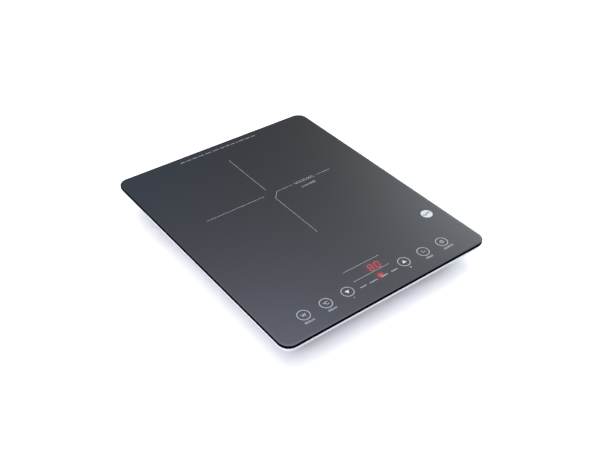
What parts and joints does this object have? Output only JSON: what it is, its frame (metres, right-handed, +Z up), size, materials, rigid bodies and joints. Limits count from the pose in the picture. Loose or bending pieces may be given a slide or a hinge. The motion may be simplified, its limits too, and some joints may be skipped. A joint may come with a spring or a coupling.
{
  "type": "induction cooktop",
  "caption": "Slim portable electric induction cooktop: black glass plate with one printed cooking zone and touch keys, on a white case that holds the coil, boards and fan.",
  "frame": {"origin": "on the worktop under the middle of the glass plate", "axes": "+Z up, +X to the right, +Y to the back, away from the touch keys"},
  "size_m": [0.29, 0.356, 0.04],
  "materials": {
    "black_glass": "polished black glass-ceramic, opaque",
    "light_print": "fired-on print, satin",
    "silicone": "cured silicone adhesive",
    "white_plastic": "moulded white plastic, satin",
    "foot_rubber": "matt rubber",
    "screw_steel": "zinc-plated steel",
    "black_plastic": "glass-filled moulded plastic, matt",
    "mica": "pressed mica, satin",
    "copper_litz": "enamelled copper wire",
    "ferrite": "sintered ferrite, matt",
    "sensor_ceramic": "alumina, satin",
    "spring_steel": "bright spring steel",
    "white_wire": "silicone-insulated wire",
    "brown_wire": "heat-proof wire insulation",
    "red_wire": "wire insulation",
    "brass": "plain brass",
    "board_green": "circuit board with solder mask",
    "aluminium": "extruded aluminium",
    "device_black": "moulded epoxy",
    "capacitor_red": "film capacitor case",
    "capacitor_yellow": "film capacitor case",
    "choke_core": "coated ferrite",
    "transformer_tape": "polyester tape over ferrite",
    "capacitor_blue": "sleeved aluminium can",
    "fuse_glass": "glass tube with plated caps",
    "varistor_blue": "epoxy-dipped ceramic",
    "white_nylon": "nylon",
    "stator_iron": "laminated iron",
    "display_black": "filled display block",
    "indicator_red": "light-emitting diode package",
    "grey_ribbon": "flat cable insulation"
  },
  "bodies": {
    "root": {"glass_plate": "black_glass", "printed_marks": "light_print", "seal_bead": "silicone", "upper_frame": "white_plastic", "base_shell": "white_plastic", "rubber_feet": "foot_rubber", "case_screws": "screw_steel", "cord_gland": "black_plastic", "mica_sheet": "mica", "coil_carrier": "black_plastic", "coil_winding": "copper_litz", "ferrite_bars": "ferrite", "coil_screws": "screw_steel", "glass_sensor": "sensor_ceramic", "sensor_spring": "spring_steel", "sensor_lead": "white_wire", "coil_terminals": "brass", "main_board": "board_green", "heatsink": "aluminium", "power_transistor": "device_black", "bridge_rectifier": "device_black", "device_screws": "screw_steel", "resonant_capacitor": "capacitor_red", "smoothing_capacitor": "capacitor_red", "interference_capacitor": "capacitor_yellow", "line_choke_core": "choke_core", "line_choke_winding": "copper_litz", "small_transformer": "transformer_tape", "electrolytic_capacitors": "capacitor_blue", "fuse": "fuse_glass", "fuse_clips": "screw_steel", "varistor": "varistor_blue", "control_chip": "device_black", "mains_terminals": "white_nylon", "mains_leads": "brown_wire", "mains_terminal_block": "white_nylon", "board_connectors": "white_nylon", "board_screws": "screw_steel", "fan_frame": "black_plastic", "fan_stator": "stator_iron", "fan_windings": "copper_litz", "fan_screws": "screw_steel", "fan_lead": "red_wire", "control_board": "board_green", "touch_springs": "spring_steel", "display_module": "display_black", "indicator_lights": "indicator_red", "light_box": "device_black", "buzzer": "device_black", "touch_chip": "device_black", "ribbon_cable": "grey_ribbon", "control_screws": "screw_steel"},
    "fan_rotor": {"fan_impeller": "black_plastic", "fan_magnet": "ferrite", "fan_shaft": "spring_steel"}
  },
  "joints": [
    {"name": "fan_spin", "type": "hinge", "parent": "root", "child": "fan_rotor", "pos_m": [0.08, -0.087, 0.0164], "axis": [0, 0, 1], "continuous": true}
  ]
}
